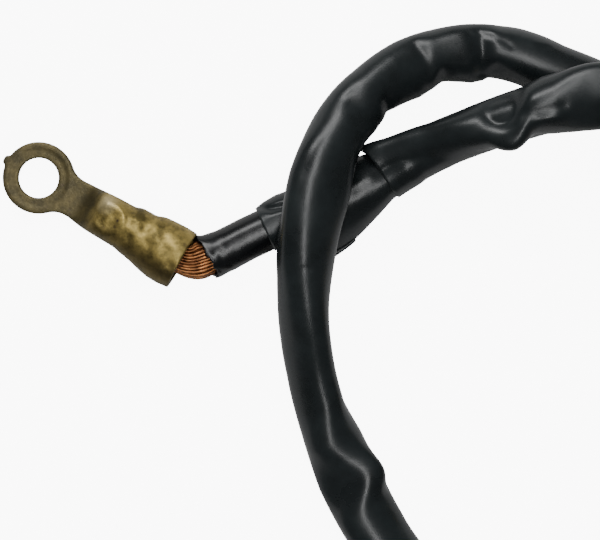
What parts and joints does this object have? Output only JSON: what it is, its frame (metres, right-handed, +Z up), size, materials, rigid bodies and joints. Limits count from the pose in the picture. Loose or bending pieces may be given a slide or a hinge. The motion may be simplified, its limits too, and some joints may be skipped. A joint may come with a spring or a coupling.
{
  "type": "starter motor cable",
  "caption": "Heavy battery cable in a loose glossy sleeve, with a crimped ring terminal on each end, lying in a loose coil.",
  "frame": {"origin": "middle of the base, on the floor that the cable lies on", "axes": "+Z up from the floor, +X along the longer side of the coil, away from the near terminal"},
  "size_m": [0.1844, 0.1308, 0.0247],
  "materials": {
    "terminal_brass": "tarnished, mottled sheet metal",
    "conductor_copper": "dull bare copper strands",
    "insulation_black": "semi-gloss black jacket",
    "sleeve_black": "glossy, creased black tubing"
  },
  "bodies": {
    "root": {"ring_terminal_near": "terminal_brass", "ring_terminal_far": "terminal_brass", "conductor": "conductor_copper", "insulation": "insulation_black", "joint_sleeve_near": "sleeve_black", "joint_sleeve_far": "sleeve_black", "outer_sleeve": "sleeve_black"}
  },
  "joints": []
}
